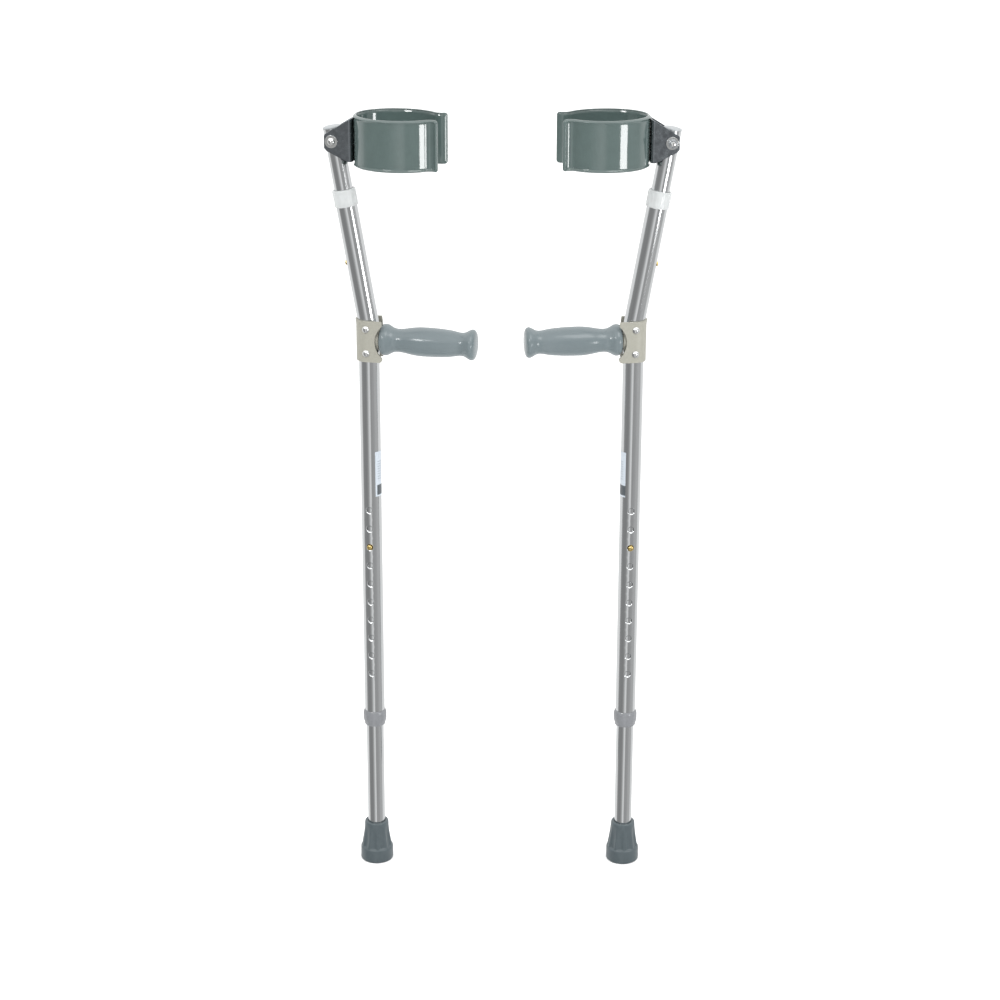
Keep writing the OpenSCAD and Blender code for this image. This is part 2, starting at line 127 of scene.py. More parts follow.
def place_mm(tree, attribute=None, stretch=(1, 1, 1)):
    """Object coordinates, or a piece's own attribute, in millimetres."""
    if attribute:
        source, scale = add(tree, "Attribute", attribute_name=attribute).outputs["Vector"], 1
    else:
        source, scale = add(tree, "TexCoord").outputs["Object"], 1000
    mapping = add(tree, "Mapping", {"Vector": source})
    mapping.inputs["Scale"].default_value = [scale * s for s in stretch]
    return mapping.outputs["Vector"]


def ranged(tree, value, low, high, from_low=0.3, from_high=0.7):
    """A noise value turned to run between low and high."""
    sockets = {"Value": value, "From Min": from_low, "From Max": from_high}
    return add(tree, "MapRange", {**sockets, "To Min": low, "To Max": high}).outputs[0]


def shaded(tree, shader, colour, amount, noise):
    """Base colour made a little lighter and darker by a noise."""
    dark = [c * (1 - amount) for c in colour[:3]] + [1]
    light = [min(1, c * (1 + amount)) for c in colour[:3]] + [1]
    mix = add(tree, "Mix", {"Factor": noise}, data_type="RGBA")
    mix.inputs["A"].default_value = dark
    mix.inputs["B"].default_value = light
    tree.links.new(mix.outputs["Result"], shader.inputs["Base Color"])
    return mix.outputs["Result"]


def textured(name, hex_colour, rough, size, relief, amount=0.06, wander=0.04,
             attribute=None, stretch=(1, 1, 1), detail=3.0, **surface):
    """A finish whose colour, gloss and surface vary over `size` millimetres."""
    material, tree, shader = blank(name, Roughness=rough, **surface)
    place = place_mm(tree, attribute, stretch)
    sockets = {"Vector": place, "Scale": 1 / size, "Detail": detail, "Roughness": 0.6}
    noise = add(tree, "TexNoise", sockets).outputs["Fac"]
    shaded(tree, shader, linear(hex_colour), amount, ranged(tree, noise, 0, 1))
    gloss = ranged(tree, noise, rough - wander, rough + wander)
    tree.links.new(gloss, shader.inputs["Roughness"])
    bump = add(tree, "Bump", {"Height": noise, "Distance": relief / 1000, "Strength": 1.0})
    tree.links.new(bump.outputs[0], shader.inputs["Normal"])
    return material


# ---- Finishes ----

def label_paper():
    """Glossy label: pale blue-white with a dark block and faint grey lines, no lettering."""
    material, tree, shader = blank("printed label film", Roughness=0.3)
    place = place_mm(tree, "label")
    parts = add(tree, "SeparateXYZ", {"Vector": place})
    across, up = parts.outputs["X"], parts.outputs["Y"]

    def inside(value, low, high):
        above = add(tree, "Math", {0: value, 1: low}, operation="GREATER_THAN").outputs[0]
        below = add(tree, "Math", {0: value, 1: high}, operation="LESS_THAN").outputs[0]
        return add(tree, "Math", {0: above, 1: below}, operation="MULTIPLY").outputs[0]

    def block(low_x, high_x, low_y, high_y):
        sockets = {0: inside(across, low_x, high_x), 1: inside(up, low_y, high_y)}
        return add(tree, "Math", sockets, operation="MULTIPLY").outputs[0]

    def painted(under, shape, hex_colour):
        mix = add(tree, "Mix", {"Factor": shape}, data_type="RGBA")
        tree.links.new(under, mix.inputs["A"])
        mix.inputs["B"].default_value = linear(hex_colour)
        return mix.outputs["Result"]

    noise = add(tree, "TexNoise", {"Vector": place, "Scale": 0.4}).outputs["Fac"]
    colour = shaded(tree, shader, linear("#B4BCC4"), 0.03, ranged(tree, noise, 0, 1))
    colour = painted(colour, block(-9, 11.4, 2, 15), "#4A5054")
    wave = add(tree, "Math", {0: up, 1: 3.2}, operation="MODULO").outputs[0]
    lines = add(tree, "Math", {0: wave, 1: 0.9}, operation="LESS_THAN").outputs[0]
    zone = add(tree, "Math", {0: lines, 1: block(-8, 7, 20, 48)}, operation="MULTIPLY")
    colour = painted(colour, zone.outputs[0], "#858E96")
    tree.links.new(colour, shader.inputs["Base Color"])
    return material


# Satin bright tube with fine drawing lines along it.
ALUMINIUM = textured("anodised aluminium tube", "#C8CACB", 0.12, 0.5, 0.003, 0.05, 0.04,
                     attribute="along", stretch=(1, 1, 0.012), Metallic=1.0)
# Powder coat in beige with fine pale and dark grains.
POWDER_COAT = textured("beige powder coat", "#929187", 0.4, 0.9, 0.05, 0.16, 0.06)
# Domed rivets, bright and slightly scuffed.
RIVET_STEEL = textured("bright rivet steel", "#D6D7D6", 0.16, 1.5, 0.01, 0.05, 0.05, Metallic=1.0)
# Smooth grey moulding with a soft sheen, very slightly orange-peeled.
GRIP_PLASTIC = textured("glossy grey grip plastic", "#656F72", 0.18, 3.0, 0.003, 0.015, 0.02)
# Clear milky nylon: whitish, lets light through.
NYLON = textured("milky nylon", "#DADDDD", 0.22, 4.0, 0.004, 0.02, 0.03,
                 **{"Transmission Weight": 0.4, "IOR": 1.45})
# Grey moulding with polished rims.
COLLAR_PLASTIC = textured("grey collar plastic", "#76787B", 0.1, 2.5, 0.01, 0.05, 0.04)
# Grey plug, a little duller.
CAP_PLASTIC = textured("grey plug plastic", "#9CA0A2", 0.35, 2.0, 0.01, 0.04, 0.04)
# Dull blue-grey rubber with a faint bloom.
RUBBER = textured("blue-grey tip rubber", "#465054", 0.4, 5.0, 0.02, 0.05, 0.05)
# Brass pins that catch a warm light.
BRASS = textured("polished brass button", "#CDB679", 0.22, 1.0, 0.01, 0.06, 0.05, Metallic=1.0)
# Dark zinc plate with a blue-grey cloudiness.
ZINC = textured("blue-grey zinc plate", "#787D81", 0.24, 6.0, 0.006, 0.12, 0.06, Metallic=1.0)
# Thick dipped vinyl: grey-green, wet-looking, slightly uneven.
VINYL = textured("dipped grey vinyl", "#4C5A58", 0.09, 14.0, 0.05, 0.04, 0.02,
                 **{"Coat Weight": 0.6, "Coat Roughness": 0.03})
# Spring steel strip.
SPRING = textured("blued spring steel", "#5B5E62", 0.3, 2.0, 0.01, 0.08, 0.05, Metallic=1.0)
# Plain steel and zinc washers.
STEEL = textured("galvanised steel", "#B4B8BB", 0.24, 2.0, 0.01, 0.08, 0.06, Metallic=1.0)
# Pale glossy film with a dark block and faint lines, as a printed label looks from afar.
LABEL = label_paper()

FINISH = {
    "tube": ALUMINIUM, "saddle": POWDER_COAT, "rivet": RIVET_STEEL, "grip": GRIP_PLASTIC,
    "sticker": LABEL, "clear_nylon": NYLON, "grey_plastic": COLLAR_PLASTIC,
    "rubber": RUBBER, "washer": STEEL, "spring": SPRING, "button": BRASS, "zinc": ZINC,
    "core": STEEL, "cuff": VINYL,
}


# ---- Surface helpers ----

def turned_about(axis, points, angle):
    """Points turned by an angle about the X, Y or Z axis."""
    a, b = {"X": (1, 2), "Y": (2, 0), "Z": (0, 1)}[axis]
    out = np.array(points, float)
    c, s = math.cos(angle), math.sin(angle)
    out[..., a] = c * points[..., a] - s * points[..., b]
    out[..., b] = s * points[..., a] + c * points[..., b]
    return out


def up_the_arm(points, s):
    """Points about the upper tube's axis, moved s up it from the bend."""
    moved = points + np.array([0, 0, s])
    return turned_about("Y", moved, -LEAN) + np.array([0, 0, BEND_Z])


def grid_quads(rows, cols, wrap=False):
    """Quads between the neighbouring points of a grid that is stored row by row."""
    i = np.arange(rows - 1)[:, None] * cols
    j = np.arange(cols if wrap else cols - 1)[None, :]
    k = (j + 1) % cols
    return np.stack([i + j, i + k, i + cols + k, i + cols + j], -1).reshape(-1, 4)


def joined(*parts):
    """Several (points, quads) surfaces as one."""
    start = np.cumsum([0] + [len(p) for p, _ in parts])
    quads = [q + n for (_, q), n in zip(parts, start)]
    return np.concatenate([p for p, _ in parts]), np.concatenate(quads)


def lathe(profile, segments=SEGMENTS, wobble=None):
    """A surface of revolution about Z through a line of (radius, height) points.

    wobble(angle, height) is added to the radius."""
    profile = np.asarray(profile, float)
    angle = np.linspace(0, 2 * np.pi, segments, endpoint=False)[None, :]
    radius, height = profile[:, :1] + 0 * angle, profile[:, 1:] + 0 * angle
    if wobble is not None:
        radius = radius + wobble(angle, height)
    points = np.stack([radius * np.cos(angle), radius * np.sin(angle), height], -1)
    return points.reshape(-1, 3), grid_quads(len(profile), segments, wrap=True)


def rounded(points, radius, closed=True, steps=4):
    """A line of points whose corners are replaced by small curves.

    Each corner becomes the parabola that leaves and meets its two sides at the
    given distance, or at 0.45 of a shorter side."""
    p = np.asarray(points, float)
    before, after = np.roll(p, 1, 0), np.roll(p, -1, 0)
    r = np.broadcast_to(np.asarray(radius, float), len(p))[:, None]
    back, ahead = before - p, after - p
    lb, la = np.linalg.norm(back, axis=1)[:, None], np.linalg.norm(ahead, axis=1)[:, None]
    a = p + back / np.maximum(lb, 1e-9) * np.minimum(r, 0.45 * lb)
    b = p + ahead / np.maximum(la, 1e-9) * np.minimum(r, 0.45 * la)
    t = np.linspace(0, 1, steps + 1)[None, :, None]
    curve = (1 - t) ** 2 * a[:, None] + 2 * t * (1 - t) * p[:, None] + t**2 * b[:, None]
    if not closed:
        curve[0], curve[-1] = p[0], p[-1]
        curve = curve.reshape(-1, 2)
        return curve[steps : len(curve) - steps]
    curve = curve.reshape(-1, 2)
    return np.concatenate([curve, curve[:1]])


def smooth_line(points, count):
    """A line through (along, radius) points whose slope runs smoothly.

    Between two points it is a cubic; the slope at a point is that of the
    chord between its two neighbours."""
    p = np.asarray(points, float)
    step = np.linalg.norm(np.diff(p, axis=0), axis=1)
    t = np.concatenate([[0], np.cumsum(step)])
    slope = np.gradient(p, t, axis=0)
    u = np.linspace(0, t[-1], count)
    i = np.clip(np.searchsorted(t, u, side="right") - 1, 0, len(p) - 2)
    h = (t[i + 1] - t[i])[:, None]
    w = ((u - t[i])[:, None]) / h
    a = 2 * w**3 - 3 * w**2 + 1
    b = w**3 - 2 * w**2 + w
    c, d = 1 - a, w**3 - w**2
    return a * p[i] + b * h * slope[i] + c * p[i + 1] + d * h * slope[i + 1]


def welded(points, quads, step=1e-4):
    """Points closer than a step made one. Quads that lose a corner become triangles."""
    keys = np.round(points / step).astype(np.int64)
    _, first, back = np.unique(keys, axis=0, return_index=True, return_inverse=True)
    points, quads = points[first], back.reshape(-1)[quads]
    same = quads == np.roll(quads, -1, axis=1)
    whole = quads[~same.any(1)]
    short = quads[same.sum(1) == 1]
    corner = np.argmax(short == np.roll(short, -1, axis=1), axis=1)
    order = (corner[:, None] + np.array([1, 2, 3])) % 4
    return points, whole, np.take_along_axis(short, order, axis=1), first


def outward(points, quads, triangles):
    """The faces of a closed surface turned so that its volume is positive."""
    t = np.concatenate([quads[:, :3], quads[:, [0, 2, 3]], triangles])
    a, b, c = points[t[:, 0]], points[t[:, 1]], points[t[:, 2]]
    if np.einsum("ij,ij->", a, np.cross(b, c)) < 0:
        return quads[:, ::-1], triangles[:, ::-1]
    return quads, triangles


def piece(name, side, surface, slot, nodes, material=None, closed=True, values=None,
          solid=0.0, offset=1, bevel=0.0):
    """Makes one piece of a crutch, stands it at its place and ties it to its body.

    values are (attribute name, one vector for each point) to keep for the material."""
    points, quads = surface
    points, quads, triangles, first = welded(points, quads)
    if closed:
        quads, triangles = outward(points, quads, triangles)
    turn, place = SIDES[side]
    world = (turned_about("Z", points, turn) + place) / 1000
    mesh = bpy.data.meshes.new(f"{side}_{name}")
    mesh.from_pydata(world, [], quads.tolist() + triangles.tolist())
    mesh.update()
    mesh.polygons.foreach_set("use_smooth", np.ones(len(mesh.polygons), bool))
    if values is not None:
        layer = mesh.attributes.new(values[0], "FLOAT_VECTOR", "POINT")
        layer.data.foreach_set("vector", values[1][first].astype(np.float32).ravel())
    obj = bpy.data.objects.new(f"{side}_{name}_look", mesh)
    bpy.context.scene.collection.objects.link(obj)
    mesh.materials.append(material or FINISH[slot])
    if solid:
        shell = obj.modifiers.new("thickness", "SOLIDIFY")
        shell.thickness, shell.offset, shell.use_even_offset = solid / 1000, offset, True
    if bevel:
        edge = obj.modifiers.new("edges", "BEVEL")
        edge.width, edge.segments = bevel / 1000, 3
        edge.limit_method, edge.angle_limit = "ANGLE", math.radians(40)
    normals = obj.modifiers.new("normals", "WEIGHTED_NORMAL")
    normals.keep_sharp = True
    cad = [f"{side}_{n}" for n in nodes]
    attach(obj, frame["nodes"][cad[0]]["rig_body"])
    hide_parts(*cad)
    return obj


# ---- Tubes ----

def bent_map(points):
    """Bends a straight tube: below the bend it stands, then it turns on an arc of
    BEND_R by the lean, then it runs straight on."""
    tangent = BEND_R * math.tan(LEAN / 2)
    s = points[..., 2] - (BEND_Z - tangent)
    angle = np.clip(s / BEND_R, 0, LEAN)
    rest = np.maximum(s - BEND_R * LEAN, 0)
    out = np.array(points, float)
    reach = points[..., 0]
    arc = BEND_R * (1 - np.cos(angle))
    out[..., 0] = reach * np.cos(angle) - arc - rest * np.sin(angle)
    climb = BEND_R * np.sin(angle) + rest * np.cos(angle)
    out[..., 2] = np.where(s < 0, points[..., 2],
                           BEND_Z - tangent + climb + reach * np.sin(angle))
    return out


def hole_patch(radius, centre, height, half_angle, half_height, n_a, n_h):
    """A patch of tube wall round a drilled hole, and the hole's own wall.

    The outer ring runs along the patch's four sides. It closes in steps to the
    hole, where x = r cos(f) across and z = r sin(f) up on a wall of any radius,
    then follows the rounded edge and the bore to the inside, and opens again."""
    a = np.linspace(-1, 1, n_a + 1)[:-1]
    h = np.linspace(-1, 1, n_h + 1)[:-1]
    ring_a = np.concatenate([a, np.ones(n_h), -a, -np.ones(n_h)]) * half_angle
    ring_h = np.concatenate([-np.ones(n_a), h, np.ones(n_a), -h]) * half_height
    f = np.arctan2(ring_h, ring_a * radius)
    rows_a, rows_h, rows_r = [], [], []

    def hole_row(hole_r, wall_r):
        return np.arcsin(hole_r * np.cos(f) / wall_r), hole_r * np.sin(f)

    inner = radius - WALL
    ha, hh = hole_row(HOLE_R + HOLE_RIM, radius)
    for w in (1, 0.7, 0.4, 0.18, 0):
        rows_a.append(ha + w * (ring_a - ha))
        rows_h.append(hh + w * (ring_h - hh))
        rows_r.append(np.full_like(f, radius))
    for grow, depth in HOLE_EDGE:
        ha, hh = hole_row(HOLE_R + grow, radius - depth)
        rows_a.append(ha)
        rows_h.append(hh)
        rows_r.append(np.full_like(f, radius - depth))
    ha, hh = hole_row(HOLE_R + HOLE_BACK, inner)
    for w in (0, 0.4, 1):
        rows_a.append(ha + w * (ring_a - ha))
        rows_h.append(hh + w * (ring_h - hh))
        rows_r.append(np.full_like(f, inner))
    angle = centre + np.array(rows_a)
    r, z = np.array(rows_r), height + np.array(rows_h)
    points = np.stack([r * np.cos(angle), r * np.sin(angle), z], -1)
    return points.reshape(-1, 3), grid_quads(len(rows_a), len(f), wrap=True)


def tube(radius, low, high, sets, bend=None):
    """A tube with drilled holes: its wall is cut in sectors and bands, and a cell is
    either a plain grid or a hole patch. Both ends have a small rounded lip."""
    half_a, n_a, n_h = math.radians(30), 16, 10
    inner = radius - WALL
    bands = [low]
    for _, heights in sets:
        for z in sorted(heights):
            bands += [z - PITCH / 2, z + PITCH / 2]
    if bend:
        bands += list(np.linspace(bend[0], bend[1], 9))
    bands = np.unique(np.round(np.array(bands + [high]), 6))
    drilled = {}
    for centres, heights in sets:
        for z in heights:
            drilled[round(float(z), 6)] = centres
    edges = [math.radians(x) for x in (-120, -60, 60, 120, 150, 210, 240)]
    parts = []
    for z0, z1 in zip(bands[:-1], bands[1:]):
        centres = drilled.get(round(float((z0 + z1) / 2), 6), ())
        if abs(z1 - z0 - PITCH) > 1e-3:
            centres = ()
        for a0, a1 in zip(edges[:-1], edges[1:]):
            count = int(round(math.degrees(a1 - a0) / CELL))
            middle = (a0 + a1) / 2
            if any(abs(math.remainder(middle - c, 2 * math.pi)) < 1e-6 for c in centres):
                parts.append(hole_patch(radius, middle, (z0 + z1) / 2, half_a,
                                        (z1 - z0) / 2, n_a, n_h))
                continue
            rows = n_h if centres else 2
            a = np.linspace(a0, a1, count + 1)[None, :]
            z = np.linspace(z0, z1, rows + 1)[:, None]
            for r in (radius, inner):
                grid = np.stack([r * np.cos(a) + 0 * z, r * np.sin(a) + 0 * z, z + 0 * a], -1)
                quads = grid_quads(rows + 1, count + 1)
                parts.append((grid.reshape(-1, 3), quads if r == radius else quads[:, ::-1]))
    for z, way in ((low, -1), (high, 1)):
        lip = [(radius, 0), (radius - 0.1, 0.22), (radius - 0.35, 0.35),
               (inner + 0.35, 0.35), (inner + 0.1, 0.22), (inner, 0)]
        lip = np.array([(r, z + way * (d - 0.35)) for r, d in lip])
        lip[[0, -1], 1] = z
        angle = np.radians(np.arange(-120, 240, CELL))[None, :]
        r, h = lip[:, :1] + 0 * angle, lip[:, 1:] + 0 * angle
        ring = np.stack([r * np.cos(angle), r * np.sin(angle), h], -1).reshape(-1, 3)
        quads = grid_quads(len(lip), angle.shape[1], wrap=True)
        parts.append((ring, quads if way > 0 else quads[:, ::-1]))
    return joined(*parts)


# ---- Pieces of one crutch ----

def dome(radius, rise, base, way=1, count=9):
    """The half outline of a round head: a circle's arc of the given rise over a base."""
    ball = (radius**2 + rise**2) / (2 * rise)
    r = radius * np.sin(np.linspace(0, 1, count)[:, None] * math.pi / 2)
    return np.concatenate([r, base + way * (rise - ball + np.sqrt(ball**2 - r**2))], 1)


def along_y(points):
    """A shape that stands along Z, laid to point along +Y."""
    return turned_about("X", points, -math.pi / 2)


def along_x(points):
    """A shape that stands along Z, laid to point along +X."""
    return turned_about("Y", points, math.pi / 2)


def tubes(side):
    """The bent main tube, the leg tube and the forearm tube."""
    y_holes = (math.radians(-90), math.radians(90))
    back = (math.radians(180),)
    tangent = BEND_R * math.tan(LEAN / 2)
    bend = (BEND_Z - tangent, BEND_Z - tangent + BEND_R * LEAN)
    top = BEND_Z + UPPER_LEN
    sets = [(y_holes, LEG_HOLES), (back, BEND_Z + ARM_HOLES)]
    straight, quads = tube(MAIN_R, MAIN_LOW, top, sets, bend)
    piece("main_tube", side, (bent_map(straight), quads), "tube", ["main_tube"],
          values=("along", straight))
    straight, quads = tube(SLIM_R, LEG_LOW, LEG_TOP, [(y_holes, [LEG_BUTTON_Z])])
    piece("leg_tube", side, (straight, quads), "tube", ["leg_tube"],
          values=("along", straight + [7, 3, 0]))
    straight, quads = tube(SLIM_R, ARM_LOW, ARM_TOP, [(back, [ARM_BUTTON_S])])
    piece("forearm_tube", side, (up_the_arm(straight, 0), quads), "tube",
          ["forearm_tube"], values=("along", straight + [31, 5, 0]))


def saddle(side):
    """The painted saddle and its boss.

    Seen from the side its front edge is at the smaller of x = SADDLE_REACH and the
    circle of radius NOTCH_R about x = NOTCH_X. The plate runs from there back to the
    tube, round it and forward again to FAR_REACH at most. The boss is a short pipe
    coped to the tube."""
    wrap_r, corner = MAIN_R + 0.15 + SADDLE_T, 4.0
    reach, half_h = SADDLE_REACH, SADDLE_HALF_H
    z = np.concatenate([[-half_h], -half_h + corner * (1 - np.cos(np.linspace(0.15, 1.57, 8))),
                        np.linspace(-half_h + corner, half_h, 56)[1:]])
    bite = NOTCH_X - np.sqrt(np.maximum(NOTCH_R**2 - z**2, 0))
    front = np.minimum(reach, bite)
    low = np.clip(-half_h + corner - z, 0, corner)
    front = np.minimum(front, reach - corner + np.sqrt(np.maximum(corner**2 - low**2, 0)))
    t = np.linspace(0, 1, 9)[None, :]
    straight = front[:, None] * (1 - t)
    short = np.minimum(front, FAR_REACH)[:, None] * (1 - t)
    first, last = (straight, short) if side == "left" else (short, straight)
    arc = np.linspace(-math.pi / 2, -3 * math.pi / 2, 49)[None, 1:-1]
    one = np.ones_like(z)[:, None]
    x = np.concatenate([first, wrap_r * np.cos(arc) * one, last[:, ::-1]], 1)
    side_y = wrap_r * np.ones_like(straight)
    y = np.concatenate([-side_y, wrap_r * np.sin(arc) * one, side_y], 1)
    height = z[:, None] + HANDLE_Z + 0 * x
    lean = np.maximum(height - BEND_Z, 0) * math.tan(LEAN) * 0.8
    points = np.stack([x - lean, y, height], -1)
    piece("handle_saddle", side, (points.reshape(-1, 3), grid_quads(*x.shape)),
          "saddle", ["handle_saddle"], closed=False, solid=SADDLE_T, bevel=0.7)
    angle = np.linspace(0, 2 * np.pi, SEGMENTS, endpoint=False)[None, :]
    rim = rounded([(BOSS_R, 0), (BOSS_R, BOSS_END), (BOSS_BORE, BOSS_END), (BOSS_BORE, 0)],
                  0.5, closed=False)
    r, along = rim[:, :1] + 0 * angle, rim[:, 1:] + 0 * angle
    across, high = r * np.cos(angle), r * np.sin(angle)
    cope = np.sqrt(np.maximum((MAIN_R + 0.1) ** 2 - across**2, 0))
    along = np.where(along < 1, np.maximum(cope, 0.4), np.maximum(along, cope + 0.1))
    ring = np.stack([along, across, high + HANDLE_Z], -1)
    ring = np.concatenate([ring, ring[:1]])
    piece("handle_boss", side, (ring.reshape(-1, 3), grid_quads(len(ring), SEGMENTS, True)),
          "saddle", ["handle_saddle"])


def rivets(side):
    """Two rivets through the saddle, each with a round head at both ends."""
    half = np.concatenate([dome(4.4, 2.4, 15.3), [[4.4, 15.28], [2.4, 15.28]]])
    outline = np.concatenate([half, half[::-1] * [1, -1]])
    points, quads = lathe(outline, 48)
    parts = [(along_y(points) + [0, 0, HANDLE_Z + k * RIVET_STEP], quads) for k in (-1, 1)]
    piece("handle_rivets", side, joined(*parts), "rivet", ["handle_rivets"])


def grip(side):
    """The moulded grip: a smooth turned line with a rim at the tube and a flare."""
    outer = [(0, 15.2), (0.25, 16.2), (1.2, 17.6), (2.9, 18.8), (5, 19.3), (7.2, 19.2),
             (9.2, 18.6), (11, 17.6), (13, 16.4), (15, 15.4), (17, 14.75), (19, 14.35),
             (21, 14.2), (24, 14.3), (27, 14.6), (31, 15.2), (35, 16), (39.5, 16.75),
             (44, 17.3), (49, 17.7), (54, 17.8), (60, 17.75), (66, 17.6), (71.5, 17.4),
             (77, 17), (82.5, 16.6), (88, 15.9), (92, 15.2), (95, 14.6), (97.5, 14.25),
             (100, 14.2), (102, 14.45), (104, 15), (106, 16.05), (108, 17.2), (110, 18.15),
             (111.6, 18.7), (113, 18.65),
             (114.3, 18.2), (115.5, 17.2), (116.5, 15.4), (117.3, 12.4), (117.8, 8),
             (117.98, 4), (118, 0)]
    line = smooth_line(outer, 190)[:, ::-1]
    line[:, 0] = np.maximum(line[:, 0], 0)
    line = np.concatenate([line, [[0, 118], [0, 112.3], [11.15, 112.3],
                                  [11.15, 0.3], [11.5, 0], [15.2, 0]]])
    points, quads = lathe(line)
    points = along_x(points) + [GRIP_X, 0, HANDLE_Z]
    piece("grip", side, (points, quads), "grip", ["grip"])


def sticker(side):
    """A thin label bent round the handle side of the main tube."""
    half, low, high = math.radians(51), 504.0, 562.0
    a = np.linspace(-half, half, 41)[None, :]
    z = np.array([low, low + 0.1, high - 0.1, high])[:, None]
    parts, places = [], []
    for r in (MAIN_R + 0.03, MAIN_R + 0.16):
        grid = np.stack([r * np.cos(a) + 0 * z, r * np.sin(a) + 0 * z, z + 0 * a], -1)
        quads = grid_quads(4, 41)
        parts.append((grid.reshape(-1, 3), quads if r > MAIN_R + 0.1 else quads[:, ::-1]))
        flat = np.stack([a * MAIN_R + 0 * z, z - low + 0 * a, 0 * z + 0 * a], -1)
        places.append(flat.reshape(-1, 3))
    points, quads = joined(*parts)
    n = len(parts[0][0])
    grid = np.arange(n).reshape(4, 41)
    loop = np.concatenate([grid[0], grid[1:, -1], grid[-1, -2::-1], grid[-2:0:-1, 0]])
    after = np.roll(loop, -1)
    rim = np.stack([loop, after, after + n, loop + n], -1)
    piece("sticker", side, (points, np.concatenate([quads, rim])), "sticker", ["sticker"],
          values=("label", np.concatenate(places)))


def collars(side):
    """The clear collar at the top of the main tube and the grey one at its foot."""
    outline = [(12.75, 145), (13.9, 145), (14.3, 146), (14.3, 164), (13.3, 165.5),
               (11.45, 165.5), (11.45, 160.05), (12.75, 160.05)]
    points, quads = lathe(rounded(outline, 0.5), wobble=lambda a, z: -0.35 * np.sin(5 * a) ** 8
                          * ((z > 146.3) & (z < 163.6)))
    piece("upper_collar", side, (up_the_arm(points, 0), quads), "clear_nylon",
          ["upper_collar"])
    low = MAIN_LOW
    outline = [(11.45, low - 3.5), (13.0, low - 3.5), (13.3, low - 2.9), (13.2, low - 2),
               (14.5, low + 2.6), (14.8, low + 5), (14.8, low + 12), (14.6, low + 13.2),
               (14.15, low + 14.5), (13.6, low + 15.6), (13.2, low + 16.3),
               (12.9, low + 16.7), (12.75, low + 16.5), (12.75, low - 0.05),
               (11.45, low - 0.05)]
    piece("lower_collar", side, lathe(rounded(outline, 0.8)), "grey_plastic",
          ["lower_collar"])


def tip(side):
    """The rubber tip. Above its base band ten shallow flutes run up and fade out: the
    radius is less by depth * (1 - |sin(5 angle + 60 degrees)| ^ 3), where the angle is
    0 at the front of the pair."""
    outer = [(18.6, 0), (19.6, 0.15), (20.4, 0.7), (20.85, 1.9), (20.9, 4), (20.88, 8),
             (20.8, 13), (20.75, 16.6), (20.62, 17.4), (20.3, 17.9), (19.95, 18.3),
             (19.6, 20), (18.9, 24), (18.25, 28), (17.6, 32), (17.0, 36), (16.4, 41),
             (15.85, 46), (15.45, 50), (15.15, 52.2), (14.75, 53.4), (14.1, 53.95),
             (13.4, 54), (12.2, 54)]
    line = smooth_line(outer, 110)
    line = np.concatenate([[[0, 0], [6, 0], [6, 1.2], [7.8, 1.2], [7.8, 0], [11, 0], [11, 1.2],
                            [12.8, 1.2], [12.8, 0], [16, 0], [16, 1.2], [17.8, 1.2],
                            [17.8, 0]], line, [[11.4, 53.9], [11.15, 53.5], [11.15, 6.5],
                                               [0, 6.5]]])

    def flutes(angle, height):
        rise = np.clip((height - 18.6) / 1.6, 0, 1)
        fade = np.clip((50 - height) / 26, 0, 1)
        depth = 1.7 * rise * rise * (3 - 2 * rise) * fade * (2 - fade)
        return -depth * (1 - np.abs(np.sin(5 * angle + math.pi / 3)) ** 3)

    points, quads = lathe(line, 240)
    r = np.linalg.norm(points[:, :2], axis=1)
    a = np.arctan2(points[:, 1], points[:, 0]) + SIDES[side][0] + math.pi / 2
    grow = np.where(r > 14.9, flutes(a, points[:, 2]), 0)
    points[:, :2] *= ((r + grow) / np.maximum(r, 1e-9))[:, None]
    piece("tip", side, (points, quads), "rubber", ["tip"])


def button_line():
    """The half outline of a snap button: a foot, a straight pin and a round crown."""
    a = np.linspace(0, math.pi / 2, 9)[:, None]
    crown = np.concatenate([BUTTON_R * np.cos(a), 13.4 + 1.5 * np.sin(a)], 1)
    foot = [(0, 8.25), (3.9, 8.25), (3.9, 8.95), (BUTTON_R, 8.95), (BUTTON_R, 11)]
    return np.concatenate([foot, crown])


def buttons(side):
    """Brass snap buttons: two in the leg, one at the back of the forearm."""
    points, quads = lathe(button_line(), 48)
    for name, turn in (("leg_button_front", math.pi), ("leg_button_back", 0)):
        shape = turned_about("Z", along_y(points), turn) + [0, 0, LEG_BUTTON_Z]
        piece(name, side, (shape, quads), "button", [name])
    shape = up_the_arm(turned_about("Z", along_y(points), math.pi / 2), ARM_BUTTON_S)
    piece("forearm_button", side, (shape, quads), "button", ["forearm_button"])


def hinge(side):
    """Cap of the forearm tube, hinge bolt with a round head, and washers."""
    outline = [(0, 233), (9.85, 233), (9.85, 239), (11.1, 239), (11.1, 240.4),
               (10.6, 241.1), (8.5, 241.7), (5, 241.95), (0, 242)]
    points, quads = lathe(np.concatenate([[outline[0]], rounded(outline, 0.35, False)]))
    piece("tube_cap", side, (up_the_arm(points, 0), quads), "grey_plastic", ["tube_cap"],
          material=CAP_PLASTIC)
    shank = [(4.8, 15.32), (3, 15.32), (3, -20.8), (2.5, -21.3), (0, -21.3)]
    points, quads = lathe(np.concatenate([dome(4.8, 3.0, 15.32), shank]), 48)
    bolt = turned_about("Z", along_y(points), math.pi) + PIVOT
    piece("pivot_bolt", side, (bolt, quads), "rivet", ["pivot_bolt"])
    outline = [(3.05, 14.3), (7.6, 14.3), (7.6, 15.3), (3.05, 15.3)]
    points, quads = lathe(rounded(outline, 0.3), 64)
    parts = [(turned_about("Z", along_y(points), k) + PIVOT, quads) for k in (0, math.pi)]
    piece("pivot_washers", side, joined(*parts), "washer", ["pivot_washers"],
          material=RIVET_STEEL)


# ---- Cuff ----

